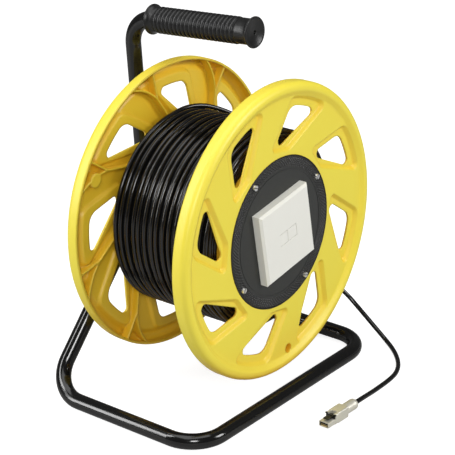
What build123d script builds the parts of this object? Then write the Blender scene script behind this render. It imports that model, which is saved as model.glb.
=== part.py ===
from build123d import *

import math
import os

# Cable reel for network cable on a bent-tube floor stand.
# Millimetres. X points right, Y points back, Z points up. The origin lies on the floor
# below the middle of the stand; the drum turns about an axis along Y.

os.makedirs("parts", exist_ok=True)

# ---- Driving dimensions ------------------------------------------------------------

# Drum
drum_radius = 155.0
drum_width = 155.0
drum_middle_y = -16.05
floor_clearance = 32.0
hub_height = drum_radius + floor_clearance
screw_angle = 34.2
screw_ring_radius = 74.2
screw_count = 4

# Flange moulding: depths count inwards from the crest of the rim
skin = 3.0
web_depth = 3.6
rim_depth = 15.6
rim_wall = 2.6
rim_rounding = 7.0
bead_width = 9.0
bead_slope = 5.5
plate_bore_radius = 79.3
ledge_radius = 68.0
spigot_wall = 2.9
spigot_length = 8.4
rim_chamfer = 3.0

# Scooped windows, drawn in a frame whose Y axis points outwards from the hub
window_count = 8
window_lead = 1.9
pocket_depth = 3.9
pocket_inset = 3.4
pocket_skin = 2.2
cup_wall = 2.2
pocket_rim_gap = 0.3
pocket_hub_gap = 5.4
pocket_outer_left = -11.5
pocket_outer_right = 53.0
pocket_heel_across = -3.0
pocket_toe_across = -35.5
pocket_toe_drop = 2.2
hole_rim_step = 10.6
hole_hub_gap = 1.7
hole_outer_left = -6.0
hole_outer_right = 39.5
hole_toe_across = -26.0

# Y ribs behind the web
rib_thickness = 1.8
rib_depth = 8.4
rib_root_across = 15.5
rib_root_gap = 8.7
rib_middle_across = 29.8
rib_fork_across = 43.5
rib_fork_drop = 31.6
rib_arm_across = 54.0
rib_bow_across = 60.8
rib_bow_drop = 16.3
rib_tip_across = 85.5

# Crank knob socket in the flange
knob_rim_gap = 18.8
knob_angle = -118.6
knob_bore_radius = 5.0
knob_bore_depth = 10.0
knob_boss_wall = 2.5

# Core
core_radius = 85.5
core_wall = 3.0
core_seat_width = 3.8
core_boss_radius = 5.0
core_boss_web = 4.0
spigot_fit = 0.3

# Winding
cable_diameter = 5.0
winding_depth = 17.9
winding_side_gap = 0.3
winding_core_gap = 0.3
winding_turns = 16
winding_groove = 4.2
winding_crest = 2.4

# Plates in the flange bores
plate_fit = 0.3
plate_thickness = 3.0
plate_ring_radius = 65.5
plate_ring_width = 1.0
plate_ring_depth = 0.4

# Plate screws
screw_head_radius = 3.5
screw_head_height = 2.2
screw_shank_radius = 1.75
screw_length = 18.0
screw_hole_gap = 0.35
screw_pilot_gap = 0.05
screw_head_taper = 18.0
screw_slot_turn = 35.0
screw_slot_width = 1.0
screw_slot_depth = 1.0

# Stand
tube_radius = 8.2
tube_wall = 1.5
bend_radius = 36.0
top_bend_radius = 29.0
base_half_width = 147.2
base_half_depth = 99.35
crossing_y = 89.35
post_top_y = 101.35
post_top_height = 380.3
handle_rise = 0.0639
weld_gap = 0.05

# Axle and bearing
axle_radius = 7.0
thread_radius = 5.0
bush_radius = 10.0
bush_length = 18.0
bush_flange_radius = 12.5
bush_flange = 1.5
running_fit = 0.05
press_gap = 0.02
axle_recess = 2.0
end_play = 0.3
sleeve_radius = 13.0
sleeve_front_y = -20.0
washer_radius = 13.0
washer_thickness = 2.0
nut_radius = 9.8
nut_height = 8.0
thread_spare = 2.0
hub_plate_radius = 30.0
hub_plate_face_y = 76.45
hub_plate_depth = 6.6
hub_plate_chamfer = 0.8
gusset_count = 6
gusset_thickness = 3.0
gusset_height = 30.0
gusset_reach = 64.0
gusset_end = 4.0

# Handle grip
grip_front_y = -59.9
grip_back_y = 71.55
grip_flange_radius = 15.8
grip_flange_width = 2.2
grip_bell_radius = 14.4
grip_bell_length = 7.6
grip_groove_radius = 12.4
grip_rib_radius = 13.8
grip_rib_count = 20
grip_rib_pitch = 5.15
grip_collar_radius = 13.1
grip_end_wall = 5.0
grip_hole_radius = 2.0

# Network outlet on the plate
outlet_turn = 9.9
cover_size = 80.0
cover_depth = 10.6
cover_wall = 2.2
cover_bevel = 2.4
port_pitch = 14.6
port_width = 12.6
port_height = 13.4
box_radius = 33.0
box_depth = 40.0
box_wall = 1.5
box_lip = 4.0
box_lip_thickness = 1.2
box_fit = 0.3
box_screw_spacing = 60.0
frame_size = 70.0
frame_thickness = 1.2
frame_screw_radius = 1.5
frame_screw_length = 12.0
frame_screw_head_radius = 2.9
frame_screw_head_height = 1.8
frame_boss_radius = 3.0
jack_width = 34.0
jack_height = 22.0
jack_depth = 20.0
jack_fit = 0.2
jack_lip = 4.0
jack_lip_thickness = 1.4
jack_well_depth = 4.0
jack_well_height = 15.0
jack_mouth_width = 11.9
jack_mouth_height = 8.4
jack_mouth_depth = 13.0

# Port flaps
flap_gap = 0.3
flap_thickness = 1.4
flap_setback = 0.3
flap_pin_radius = 0.6
flap_pin_seat = 0.7
flap_pin_to_edge = 0.9
flap_pin_to_opening = 1.6

# Inner end of the cable
tail_entry_depth = 62.0
tail_jack_offset = 12.0
tail_hole_offset = 13.6
tail_hole_radius = 4.5
grommet_wall = 1.0
grommet_lip = 1.2

# Plug on the free end: distances along it count from its rear end
plug_rear = (24.8, -166.7)
plug_nose_y = -165.1
plug_length = 52.5
plug_axis_height = 6.5
plug_socket_depth = 2.5
lead_approach = 8.3
collar_length = 18.5
collar_radius = 5.8
collar_dome = 7.0
collar_mouth_radius = 3.4
body_width = 13.0
body_height = 12.4
body_rounding = 1.4
body_end = 35.0
bezel_end = 40.5
bezel_width = 12.6
bezel_height = 11.4
nose_width = 11.7
nose_height = 5.8
nose_wall = 0.5
nose_drop = 2.3
nose_recess = 1.0
contact_count = 8
contact_pitch = 1.02
contact_width = 0.5
contact_length = 6.0
contact_height = 2.4
latch_width = 6.2
latch_thickness = 1.2
latch_length = 13.0
latch_gap = 1.6
latch_side_gap = 0.3
latch_pin_radius = 0.8
latch_pin_length = 10.0
latch_pin_along = 37.6

# ---- Derived places ----------------------------------------------------------------

front_crest_y = drum_middle_y - drum_width / 2
rear_crest_y = drum_middle_y + drum_width / 2
bead_top_radius = drum_radius - bead_width
bead_foot_radius = bead_top_radius - bead_slope
knob_radius = drum_radius - knob_rim_gap
winding_radius = core_radius + winding_core_gap + winding_depth
plate_depth = web_depth + plate_thickness
ledge_depth = plate_depth + skin
web_back_depth = web_depth + skin
cup_back_depth = web_depth + pocket_depth + pocket_skin
rib_foot_depth = web_back_depth + rib_depth
spigot_radius = plate_bore_radius + spigot_wall

screw_direction = Vector(1, 0, 0).rotate(Axis.Y, -screw_angle)
front_face = Plane((0, front_crest_y, hub_height), x_dir=screw_direction, z_dir=(0, -1, 0))
rear_face = Plane((0, rear_crest_y, hub_height), x_dir=screw_direction, z_dir=(0, 1, 0))
shaft_plane = Plane((0, 0, hub_height), x_dir=(1, 0, 0), z_dir=(0, 1, 0))
drum_section = Plane((0, 0, hub_height), x_dir=(1, 0, 0), z_dir=(0, 0, 1))
drum_axis = Axis((0, 0, hub_height), (0, 1, 0))


def finish(builder, label):
    """Give the piece its name and write it out."""
    builder.part.label = label
    export_step(builder.part, f"parts/{label}.step")


def shaft_at(y):
    """Plane square to the drum's axis, its normal pointing back."""
    return shaft_plane.offset(y)


def turned(*outline):
    """Solid of revolution about the drum's axis from (radius, y) corners."""
    with BuildPart() as piece:
        with BuildSketch(drum_section):
            with BuildLine():
                Polyline(*outline, close=True)
            make_face()
        revolve(axis=drum_axis)
    return piece.part


# ---- Drum flange: one moulding, used twice -------------------------------------------


def on_circle(across, radius):
    """Point of a circle about the hub, this far to the side of a window's middle line."""
    return (across, math.sqrt(radius**2 - across**2))


def window_outline(outer_left, outer_right, inner_corners, roundings):
    """Opening in the web with the hub below it; its outer side runs about the hub."""
    corners = [outer_left, outer_right, *inner_corners]
    outer_middle = (Vector(*outer_left) + Vector(*outer_right)).normalized()
    with BuildSketch() as outline:
        with BuildLine():
            ThreePointArc(outer_left, outer_middle * Vector(*outer_left).length, outer_right)
            Polyline(outer_right, *inner_corners, outer_left)
        make_face()
        for corner, rounding in zip(corners, roundings):
            fillet(outline.vertices().sort_by_distance(corner)[0], rounding)
    return outline.sketch


pocket_outer_radius = bead_foot_radius - pocket_rim_gap
pocket_inner_edge = plate_bore_radius + pocket_hub_gap
pocket_outline = window_outline(
    on_circle(pocket_outer_left, pocket_outer_radius),
    on_circle(pocket_outer_right, pocket_outer_radius),
    [
        (pocket_heel_across, pocket_inner_edge),
        (pocket_toe_across, pocket_inner_edge - pocket_toe_drop),
    ],
    roundings=[12.0, 6.0, 12.0, 5.5],
)
hole_outer_radius = pocket_outer_radius - hole_rim_step
hole_outline = window_outline(
    on_circle(hole_outer_left, hole_outer_radius),
    on_circle(hole_outer_right, hole_outer_radius),
    [(hole_toe_across, plate_bore_radius + hole_hub_gap)],
    roundings=[14.0, 5.0, 5.4],
)
pocket_draft = math.degrees(math.atan(pocket_inset / pocket_depth))
with BuildSketch() as cup_outline:
    add(pocket_outline)
    offset(amount=cup_wall - pocket_inset)

rib_end_radius = drum_radius - rim_wall / 2
rib_root = (rib_root_across, plate_bore_radius + rib_root_gap)
rib_fork = on_circle(rib_fork_across, drum_radius - rib_fork_drop)
rib_middle = (rib_middle_across, (rib_root[1] + rib_fork[1]) / 2)
with BuildSketch() as rib_outline:
    with BuildLine():
        ThreePointArc(rib_root, rib_middle, rib_fork)
    trace(line_width=rib_thickness)
    with BuildLine():
        Line(rib_fork, on_circle(rib_arm_across, rib_end_radius))
    trace(line_width=rib_thickness)
    with BuildLine():
        rib_bow = on_circle(rib_bow_across, drum_radius - rib_bow_drop)
        ThreePointArc(rib_fork, rib_bow, on_circle(rib_tip_across, rib_end_radius))
    trace(line_width=rib_thickness)

window_start = -90 - window_lead

with BuildPart() as moulding:
    # web, hollow rim, ledge for the plate and spigot for the core
    with BuildSketch(Plane.XZ):
        with BuildLine():
            FilletPolyline(
                (plate_bore_radius, -web_depth),
                (bead_foot_radius, -web_depth),
                (bead_top_radius, 0),
                (drum_radius, 0),
                (drum_radius, -rim_depth),
                (drum_radius - rim_wall, -rim_depth),
                (drum_radius - rim_wall, -rim_rounding),
                (drum_radius - rim_wall - rim_chamfer, -skin),
                (bead_top_radius, -skin),
                (bead_foot_radius, -web_back_depth),
                (spigot_radius, -web_back_depth),
                (spigot_radius, -ledge_depth - spigot_length),
                (plate_bore_radius, -ledge_depth - spigot_length),
                (plate_bore_radius, -ledge_depth),
                (ledge_radius, -ledge_depth),
                (ledge_radius, -plate_depth),
                (plate_bore_radius, -plate_depth),
                radius=[0, 3.0, 2.4, rim_rounding] + [0] * 13,
                close=True,
            )
        make_face()
    revolve(axis=Axis.Z)
    # backs of the scoops, as drafted as the scoops themselves
    cup_height = cup_back_depth - web_depth - skin / 2
    with BuildSketch(Plane.XY.offset(-cup_back_depth)):
        with PolarLocations(0, window_count, start_angle=window_start):
            add(cup_outline.sketch)
    extrude(amount=cup_height, taper=-pocket_draft)
    # seat of the core
    with BuildSketch(Plane.XY.offset(-cup_back_depth)):
        Circle(spigot_radius + core_seat_width)
        Circle(plate_bore_radius, mode=Mode.SUBTRACT)
    extrude(amount=cup_height)
    # Y ribs
    with BuildSketch(Plane.XY.offset(-rib_foot_depth)):
        with PolarLocations(0, window_count, start_angle=window_start):
            add(rib_outline.sketch)
    extrude(amount=rib_depth + skin / 2)
    # boss of the crank knob's socket
    with BuildSketch(Plane.XY.offset(-rib_foot_depth)):
        with PolarLocations(knob_radius, 1, start_angle=knob_angle):
            Circle(knob_bore_radius + knob_boss_wall)
    extrude(amount=rib_depth + skin / 2)
    # scoops with drafted walls
    with BuildSketch(Plane.XY.offset(-web_depth)):
        with PolarLocations(0, window_count, start_angle=window_start):
            add(pocket_outline)
    extrude(amount=-pocket_depth, taper=pocket_draft, mode=Mode.SUBTRACT)
    with BuildSketch(Plane.XY.offset(-web_depth)):
        with PolarLocations(0, window_count, start_angle=window_start):
            add(pocket_outline)
    extrude(amount=web_depth, mode=Mode.SUBTRACT)
    # windows through the scoops
    with BuildSketch(Plane.XY.offset(-web_depth)):
        with PolarLocations(0, window_count, start_angle=window_start):
            add(hole_outline)
    extrude(amount=-pocket_depth - 2 * skin, mode=Mode.SUBTRACT)
    # socket for the crank knob, open past the foot of the bead
    with BuildSketch():
        with PolarLocations(knob_radius, 1, start_angle=knob_angle):
            Circle(knob_bore_radius)
    extrude(amount=-web_depth - knob_bore_depth, mode=Mode.SUBTRACT)
    # screw holes in the ledge
    with BuildSketch(Plane.XY.offset(-plate_depth)):
        with PolarLocations(screw_ring_radius, screw_count):
            Circle(screw_shank_radius + screw_hole_gap)
    extrude(amount=-skin, mode=Mode.SUBTRACT)

with BuildPart(front_face) as front_flange:
    add(moulding.part)
finish(front_flange, "front_flange")

with BuildPart(rear_face) as rear_flange:
    add(moulding.part)
finish(rear_flange, "rear_flange")


# ---- Core and winding ------------------------------------------------------------------

core_front_y = front_crest_y + cup_back_depth
core_rear_y = rear_crest_y - cup_back_depth
boss_front_y = front_crest_y + ledge_depth
boss_rear_y = rear_crest_y - ledge_depth
core_bore_radius = core_radius - core_wall
web_length = boss_rear_y - boss_front_y - 2 * (spigot_length + spigot_fit)

# the cable comes through the core's wall beside the outlet box
tail_direction = Vector(-1, 0, 0).rotate(Axis.Y, -outlet_turn)
tail_entry_y = front_crest_y + web_depth + tail_entry_depth
tail_entry = Plane((0, tail_entry_y, hub_height), x_dir=(0, 1, 0), z_dir=tail_direction)
grommet_radius = cable_diameter / 2 + running_fit + grommet_wall

with BuildPart() as core_tube:
    with BuildSketch(shaft_at(core_front_y)):
        Circle(core_radius)
        Circle(core_bore_radius, mode=Mode.SUBTRACT)
    extrude(amount=core_rear_y - core_front_y)
    core_bosses = Plane((0, boss_front_y, hub_height), x_dir=screw_direction, z_dir=(0, 1, 0))
    with BuildSketch(core_bosses):
        with PolarLocations(screw_ring_radius, screw_count):
            Circle(core_boss_radius)
    extrude(amount=boss_rear_y - boss_front_y)
    web_reach = core_bore_radius + core_wall / 2 - screw_ring_radius
    with BuildSketch(core_bosses.offset(spigot_length + spigot_fit)):
        with PolarLocations(screw_ring_radius + web_reach / 2, screw_count):
            Rectangle(web_reach, core_boss_web)
    extrude(amount=web_length)
    pilot_depth = screw_length + screw_shank_radius
    with BuildSketch(core_bosses):
        with PolarLocations(screw_ring_radius, screw_count):
            Circle(screw_shank_radius + screw_pilot_gap)
    extrude(amount=pilot_depth, mode=Mode.SUBTRACT)
    with BuildSketch(core_bosses.offset(boss_rear_y - boss_front_y)):
        with PolarLocations(screw_ring_radius, screw_count):
            Circle(screw_shank_radius + screw_pilot_gap)
    extrude(amount=-pilot_depth, mode=Mode.SUBTRACT)
    with BuildSketch(tail_entry):
        Circle(grommet_radius)
    extrude(amount=2 * core_radius, mode=Mode.SUBTRACT)
finish(core_tube, "core_tube")

with BuildPart() as core_grommet:
    with BuildSketch(tail_entry.offset(core_bore_radius - grommet_lip)):
        Circle(grommet_radius - running_fit)
    extrude(amount=core_wall + grommet_lip)
    with BuildSketch(tail_entry.offset(core_bore_radius - 2 * grommet_lip)):
        Circle(grommet_radius + 2 * grommet_wall)
    extrude(amount=grommet_lip)
    with BuildSketch(tail_entry):
        Circle(cable_diameter / 2 + running_fit)
    extrude(amount=2 * core_radius, mode=Mode.SUBTRACT)
    # the outer end follows the barrel
    with BuildSketch(shaft_at(core_front_y)):
        Circle(2 * core_radius)
        Circle(core_radius, mode=Mode.SUBTRACT)
    extrude(amount=core_rear_y - core_front_y, mode=Mode.SUBTRACT)
finish(core_grommet, "core_grommet")

winding_front_y = front_crest_y + rib_foot_depth + winding_side_gap
winding_rear_y = rear_crest_y - rib_foot_depth - winding_side_gap
winding_pitch = (winding_rear_y - winding_front_y) / winding_turns
winding_groove_radius = winding_radius - winding_groove
# the turns of the top layer stand out as ridges
turn_profile = []
for turn in range(winding_turns):
    turn_middle = winding_front_y + (turn + 0.5) * winding_pitch
    turn_profile.append((winding_groove_radius, turn_middle - winding_pitch / 2))
    turn_profile.append((winding_radius, turn_middle - winding_crest / 2))
    turn_profile.append((winding_radius, turn_middle + winding_crest / 2))
turn_profile.append((winding_groove_radius, winding_rear_y))
with BuildPart() as cable_winding:
    add(
        turned(
            (core_radius + winding_core_gap, winding_front_y),
            *turn_profile,
            (core_radius + winding_core_gap, winding_rear_y),
        )
    )
finish(cable_winding, "cable_winding")


# ---- Plate, rear hub and their screws ----------------------------------------------------

plate_front_y = front_crest_y + web_depth
plate_radius = plate_bore_radius - plate_fit
outlet_plane = Plane(
    (0, plate_front_y, hub_height),
    x_dir=Vector(1, 0, 0).rotate(Axis.Y, -outlet_turn),
    z_dir=(0, -1, 0),
)


def plate_screws(face):
    """Pan head screws through a plate and the flange's ledge into the core."""
    heads = face.offset(-web_depth)
    with BuildPart() as screws:
        with BuildSketch(heads):
            with PolarLocations(screw_ring_radius, screw_count):
                Circle(screw_head_radius)
        extrude(amount=screw_head_height, taper=screw_head_taper)
        with BuildSketch(heads):
            with PolarLocations(screw_ring_radius, screw_count):
                Circle(screw_shank_radius)
        extrude(amount=-screw_length)
        with BuildSketch(heads.offset(screw_head_height)):
            with PolarLocations(screw_ring_radius, screw_count):
                Rectangle(2 * screw_head_radius, screw_slot_width, rotation=screw_slot_turn)
        extrude(amount=-screw_slot_depth, mode=Mode.SUBTRACT)
    return screws.part


with BuildPart() as insert_plate:
    with BuildSketch(outlet_plane):
        Circle(plate_radius)
        Circle(box_radius + box_fit, mode=Mode.SUBTRACT)
    extrude(amount=-plate_thickness)
    with BuildSketch(front_face.offset(-web_depth)):
        with PolarLocations(screw_ring_radius, screw_count):
            Circle(screw_shank_radius + screw_hole_gap)
    extrude(amount=-plate_thickness, mode=Mode.SUBTRACT)
    with BuildSketch(outlet_plane):
        Circle(plate_ring_radius + plate_ring_width)
        Circle(plate_ring_radius, mode=Mode.SUBTRACT)
    extrude(amount=-plate_ring_depth, mode=Mode.SUBTRACT)
finish(insert_plate, "insert_plate")

with BuildPart() as insert_screws:
    add(plate_screws(front_face))
finish(insert_screws, "insert_screws")

with BuildPart() as hub_screws:
    add(plate_screws(rear_face))
finish(hub_screws, "hub_screws")

hub_face_y = rear_crest_y - web_depth
boss_end_y = hub_plate_face_y - washer_thickness - end_play
sleeve_rear_y = boss_end_y - bush_flange

with BuildPart() as rear_hub:
    add(
        turned(
            (bush_radius, sleeve_front_y),
            (sleeve_radius, sleeve_front_y),
            (sleeve_radius, hub_face_y - plate_thickness),
            (plate_radius, hub_face_y - plate_thickness),
            (plate_radius, hub_face_y),
            (sleeve_radius, hub_face_y),
            (sleeve_radius, sleeve_rear_y),
            (bush_radius, sleeve_rear_y),
        )
    )
    # gussets between the disc and the sleeve
    with BuildSketch(drum_section) as gusset:
        with BuildLine():
            Polyline(
                (sleeve_radius - running_fit, hub_face_y - plate_thickness),
                (gusset_reach, hub_face_y - plate_thickness),
                (gusset_reach, hub_face_y - plate_thickness - gusset_end),
                (sleeve_radius - running_fit, hub_face_y - plate_thickness - gusset_height),
                close=True,
            )
        make_face()
    gusset_blade = extrude(amount=gusset_thickness / 2, both=True, mode=Mode.PRIVATE)
    for turn in range(gusset_count):
        add(gusset_blade.rotate(drum_axis, turn * 360 / gusset_count))
    with BuildSketch(rear_face.offset(-web_depth)):
        with PolarLocations(screw_ring_radius, screw_count):
            Circle(screw_shank_radius + screw_hole_gap)
    extrude(amount=-plate_thickness, mode=Mode.SUBTRACT)
finish(rear_hub, "rear_hub")


# ---- Bearing and axle --------------------------------------------------------------------

bush_bore_radius = axle_radius + running_fit
bush_outer_radius = bush_radius - press_gap


def flanged_bush(flange_y, inward):
    """Plain bearing with a flange; inward is +1 when its barrel runs towards +Y."""
    return turned(
        (bush_bore_radius, flange_y),
        (bush_flange_radius, flange_y),
        (bush_flange_radius, flange_y + inward * bush_flange),
        (bush_outer_radius, flange_y + inward * bush_flange),
        (bush_outer_radius, flange_y + inward * bush_length),
        (bush_bore_radius, flange_y + inward * bush_length),
    )


with BuildPart() as bush_front:
    add(flanged_bush(sleeve_front_y - bush_flange, 1))
finish(bush_front, "bush_front")

with BuildPart() as bush_rear:
    add(flanged_bush(boss_end_y, -1))
finish(bush_rear, "bush_rear")

axle_shoulder_y = sleeve_front_y - bush_flange - end_play
washer_front_y = axle_shoulder_y - washer_thickness
nut_front_y = washer_front_y - nut_height
axle_rear_y = hub_plate_face_y + hub_plate_depth - axle_recess

with BuildPart() as axle:
    add(
        turned(
            (0, axle_rear_y),
            (axle_radius, axle_rear_y),
            (axle_radius, axle_shoulder_y),
            (thread_radius, axle_shoulder_y),
            (thread_radius, nut_front_y - thread_spare),
            (0, nut_front_y - thread_spare),
        )
    )
finish(axle, "axle")

with BuildPart() as thrust_washer:
    with BuildSketch(shaft_at(hub_plate_face_y)):
        Circle(washer_radius)
        Circle(axle_radius + running_fit, mode=Mode.SUBTRACT)
    extrude(amount=-washer_thickness)
finish(thrust_washer, "thrust_washer")

with BuildPart() as axle_washer:
    with BuildSketch(shaft_at(axle_shoulder_y)):
        Circle(washer_radius)
        Circle(thread_radius + running_fit, mode=Mode.SUBTRACT)
    extrude(amount=-washer_thickness)
finish(axle_washer, "axle_washer")

with BuildPart() as axle_lock_nut:
    with BuildSketch(shaft_at(washer_front_y)):
        RegularPolygon(nut_radius, 6)
        Circle(thread_radius + running_fit, mode=Mode.SUBTRACT)
    extrude(amount=-nut_height)
finish(axle_lock_nut, "axle_lock_nut")


# ---- Stand -------------------------------------------------------------------------------

crossing = Vector(0, crossing_y, hub_height)
front_middle = Vector(0, -base_half_depth, tube_radius)
front_corner = Vector(base_half_width, -base_half_depth, tube_radius)
rear_corner = Vector(base_half_width, base_half_depth, tube_radius)
leg_direction = (crossing - rear_corner).normalized()
post_top = Vector(0, post_top_y, post_top_height)
post_direction = (post_top - crossing).normalized()
handle_direction = Vector(0, -1, handle_rise).normalized()


def tube_ring(start, direction):
    """Section of the stand's tube, square to its path."""
    with BuildSketch(Plane(start, z_dir=direction)) as ring:
        Circle(tube_radius)
        Circle(tube_radius - tube_wall, mode=Mode.SUBTRACT)
    return ring.sketch


with BuildPart() as base_tube:
    with BuildLine() as base_path:
        FilletPolyline(
            front_middle,
            front_corner,
            rear_corner,
            crossing + leg_direction * 2 * tube_radius,
            radius=bend_radius,
        )
    add(tube_ring(front_middle, (1, 0, 0)))
    sweep(path=base_path.line)
    split(bisect_by=Plane.YZ, keep=Keep.TOP)
    mirror(about=Plane.YZ)
finish(base_tube, "base_tube")

# solid rods along both legs and the post, for the coped joints at the hub
with BuildPart() as leg_rods:
    with BuildSketch(Plane(crossing, z_dir=leg_direction)):
        Circle(tube_radius + weld_gap)
    extrude(amount=hub_plate_radius * 2, both=True)
    split(bisect_by=Plane.YZ, keep=Keep.TOP)
    mirror(about=Plane.YZ)
with BuildPart() as post_rod:
    with BuildSketch(Plane(crossing, z_dir=post_direction)):
        Circle(tube_radius + weld_gap)
    extrude(amount=hub_plate_radius * 2)

handle_end = post_top + handle_direction * ((post_top_y - grip_front_y - grip_end_wall) / -handle_direction.Y)
with BuildPart() as upright_tube:
    with BuildLine() as upright_path:
        FilletPolyline(crossing, post_top, handle_end, radius=top_bend_radius)
    add(tube_ring(crossing, post_direction))
    sweep(path=upright_path.line)
    add(leg_rods.part, mode=Mode.SUBTRACT)
finish(upright_tube, "upright_tube")

with BuildPart() as hub_plate:
    with BuildSketch(shaft_at(hub_plate_face_y)):
        Circle(hub_plate_radius)
    extrude(amount=hub_plate_depth)
    chamfer(hub_plate.edges().filter_by(GeomType.CIRCLE).sort_by(Axis.Y)[0], hub_plate_chamfer)
    with BuildSketch(shaft_at(hub_plate_face_y)):
        Circle(axle_radius + weld_gap)
    extrude(amount=hub_plate_depth, mode=Mode.SUBTRACT)
    add(leg_rods.part, mode=Mode.SUBTRACT)
    add(post_rod.part, mode=Mode.SUBTRACT)
finish(hub_plate, "hub_plate")


# ---- Handle grip ---------------------------------------------------------------------------


def handle_point(y):
    """Point on the centre line of the handle bar."""
    return post_top + handle_direction * ((y - post_top_y) / handle_direction.Y)


grip_back = handle_point(grip_back_y)
grip_length = (handle_point(grip_front_y) - grip_back).length
grip_bore = tube_radius + running_fit
rib_start = grip_flange_width + grip_bell_length
rib_end = rib_start + grip_rib_count * grip_rib_pitch
grip_section = Plane(grip_back, x_dir=(1, 0, 0), z_dir=Vector(1, 0, 0).cross(handle_direction))
with BuildPart() as handle_grip:
    with BuildSketch(grip_section):
        with BuildLine():
            outline = [
                (grip_bore, 0),
                (grip_flange_radius, 0),
                (grip_flange_radius, grip_flange_width),
                (grip_bell_radius, grip_flange_width),
            ]
            for rib in range(grip_rib_count):
                valley = rib_start + rib * grip_rib_pitch
                outline.append((grip_groove_radius, valley))
                outline.append((grip_rib_radius, valley + grip_rib_pitch / 2))
            outline += [
                (grip_groove_radius, rib_end),
                (grip_collar_radius, rib_end),
                (grip_collar_radius, grip_length - grip_flange_width),
                (grip_flange_radius, grip_length - grip_flange_width),
                (grip_flange_radius, grip_length),
                (grip_hole_radius, grip_length),
                (grip_hole_radius, grip_length - grip_end_wall),
                (grip_bore, grip_length - grip_end_wall),
            ]
            Polyline(*outline, close=True)
        make_face()
    revolve(axis=Axis(grip_back, handle_direction))
finish(handle_grip, "handle_grip")


# ---- Network outlet ------------------------------------------------------------------------

frame_level = box_lip_thickness
jack_level = frame_level + frame_thickness
frame_screw_places = GridLocations(box_screw_spacing, 1, 2, 1)
port_places = GridLocations(port_pitch, 1, 2, 1)
flap_pin_height = port_height / 2 - flap_pin_to_opening
flap_pin_level = cover_depth - flap_setback - flap_thickness / 2

with BuildPart() as socket_back_box:
    with BuildSketch(outlet_plane):
        Circle(box_radius + box_lip)
    extrude(amount=box_lip_thickness)
    with BuildSketch(outlet_plane):
        Circle(box_radius)
    extrude(amount=-box_depth)
    with BuildSketch(outlet_plane.offset(box_lip_thickness)):
        Circle(box_radius - box_wall)
    extrude(amount=-box_lip_thickness - box_depth + box_wall, mode=Mode.SUBTRACT)
    with BuildSketch(outlet_plane.offset(box_lip_thickness)):
        with frame_screw_places:
            Circle(frame_boss_radius)
    extrude(amount=-frame_screw_length - 2 * box_wall)
    with BuildSketch(outlet_plane.offset(box_lip_thickness)):
        with frame_screw_places:
            Circle(frame_screw_radius + screw_pilot_gap)
    extrude(amount=-frame_screw_length, mode=Mode.SUBTRACT)
    with BuildSketch(outlet_plane.offset(-box_depth)):
        with Locations((-tail_hole_offset, 0)):
            Circle(tail_hole_radius)
    extrude(amount=box_wall, mode=Mode.SUBTRACT)
finish(socket_back_box, "socket_back_box")

with BuildPart() as socket_frame:
    with BuildSketch(outlet_plane.offset(frame_level)):
        RectangleRounded(frame_size, frame_size, box_lip)
        Rectangle(jack_width + 2 * jack_fit, jack_height + 2 * jack_fit, mode=Mode.SUBTRACT)
        with frame_screw_places:
            Circle(frame_screw_radius + jack_fit, mode=Mode.SUBTRACT)
    extrude(amount=frame_thickness)
finish(socket_frame, "socket_frame")

with BuildPart() as socket_frame_screws:
    with BuildSketch(outlet_plane.offset(jack_level)):
        with frame_screw_places:
            Circle(frame_screw_head_radius)
    extrude(amount=frame_screw_head_height, taper=screw_head_taper)
    with BuildSketch(outlet_plane.offset(jack_level)):
        with frame_screw_places:
            Circle(frame_screw_radius)
    extrude(amount=-frame_thickness - frame_screw_length + screw_slot_depth)
finish(socket_frame_screws, "socket_frame_screws")

with BuildPart() as jack_module:
    with BuildSketch(outlet_plane.offset(jack_level)):
        Rectangle(jack_width + 2 * jack_lip, jack_height + 2 * jack_lip)
    extrude(amount=jack_lip_thickness)
    with BuildSketch(outlet_plane.offset(jack_level)):
        Rectangle(jack_width, jack_height)
    extrude(amount=-jack_level - jack_depth)
    with BuildSketch(outlet_plane.offset(jack_level + jack_lip_thickness)):
        Rectangle(port_pitch + port_width, jack_well_height)
    extrude(
        amount=-jack_level - jack_lip_thickness - jack_well_depth, mode=Mode.SUBTRACT
    )
    with BuildSketch(outlet_plane.offset(-jack_well_depth)):
        with port_places:
            Rectangle(jack_mouth_width, jack_mouth_height)
    extrude(amount=-jack_mouth_depth, mode=Mode.SUBTRACT)
finish(jack_module, "jack_module")

with BuildPart() as socket_cover:
    with BuildSketch(outlet_plane):
        Rectangle(cover_size, cover_size)
    extrude(amount=cover_depth)
    chamfer(socket_cover.faces().sort_by(Axis.Y)[0].edges(), cover_bevel)
    with BuildSketch(outlet_plane):
        Rectangle(cover_size - 2 * cover_wall, cover_size - 2 * cover_wall)
    extrude(amount=cover_depth - cover_wall, mode=Mode.SUBTRACT)
    with BuildSketch(outlet_plane):
        with port_places:
            Rectangle(port_width, port_height)
    extrude(amount=cover_depth, mode=Mode.SUBTRACT)
    pin_line = outlet_plane.from_local_coords((0, flap_pin_height, flap_pin_level))
    with BuildSketch(Plane(pin_line, x_dir=(0, 1, 0), z_dir=outlet_plane.x_dir)):
        Circle(flap_pin_radius + running_fit)
    pin_hole_reach = port_pitch / 2 + port_width / 2 + flap_pin_seat
    extrude(amount=pin_hole_reach, both=True, mode=Mode.SUBTRACT)
finish(socket_cover, "socket_cover")


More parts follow.
